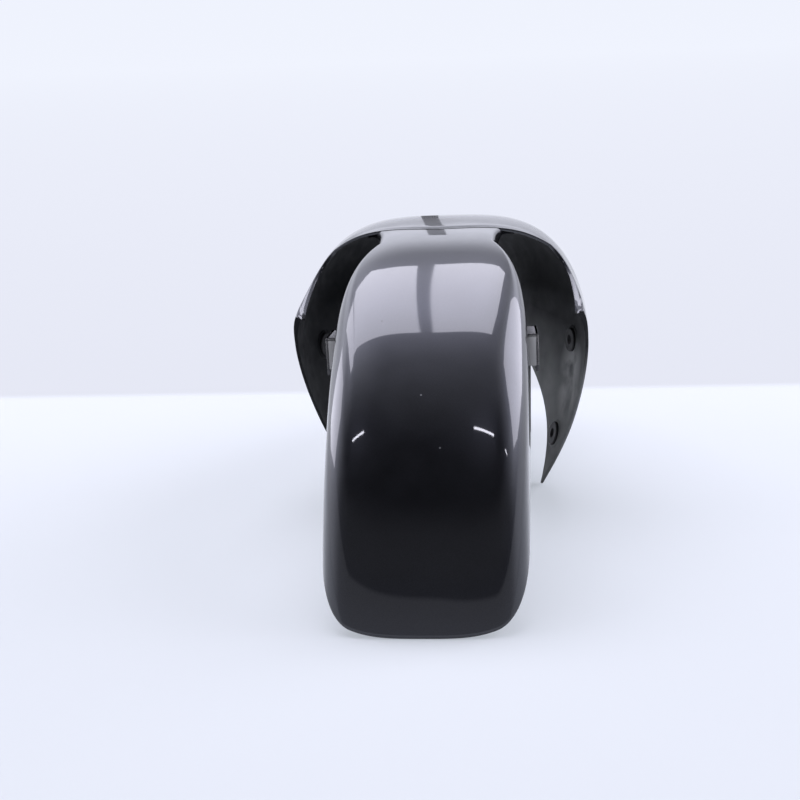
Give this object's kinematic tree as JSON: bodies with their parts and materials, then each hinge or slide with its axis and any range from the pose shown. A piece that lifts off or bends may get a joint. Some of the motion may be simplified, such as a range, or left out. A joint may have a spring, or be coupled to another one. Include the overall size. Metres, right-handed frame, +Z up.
{
  "type": "motorcycle front mudguard",
  "caption": "One-piece front mudguard: long rounded tail, narrow neck with fork notches, and an arch with two pointed wings holding rubber grommets.",
  "frame": {"origin": "middle of the outline's base, on the floor that the tail's end and the two wing tips touch", "axes": "+Y forward from the tail to the nose, +X to the rider's right, +Z up"},
  "size_m": [0.256, 0.5746, 0.2541],
  "materials": {
    "paint": "dark anthracite metallic paint under a glossy clear coat, raw black plastic inside",
    "rubber": "matt black rubber"
  },
  "bodies": {
    "root": {"mudguard_shell": "paint", "grommet_upper_left": "rubber", "grommet_upper_right": "rubber", "grommet_lower_left": "rubber", "grommet_lower_right": "rubber"}
  },
  "joints": []
}
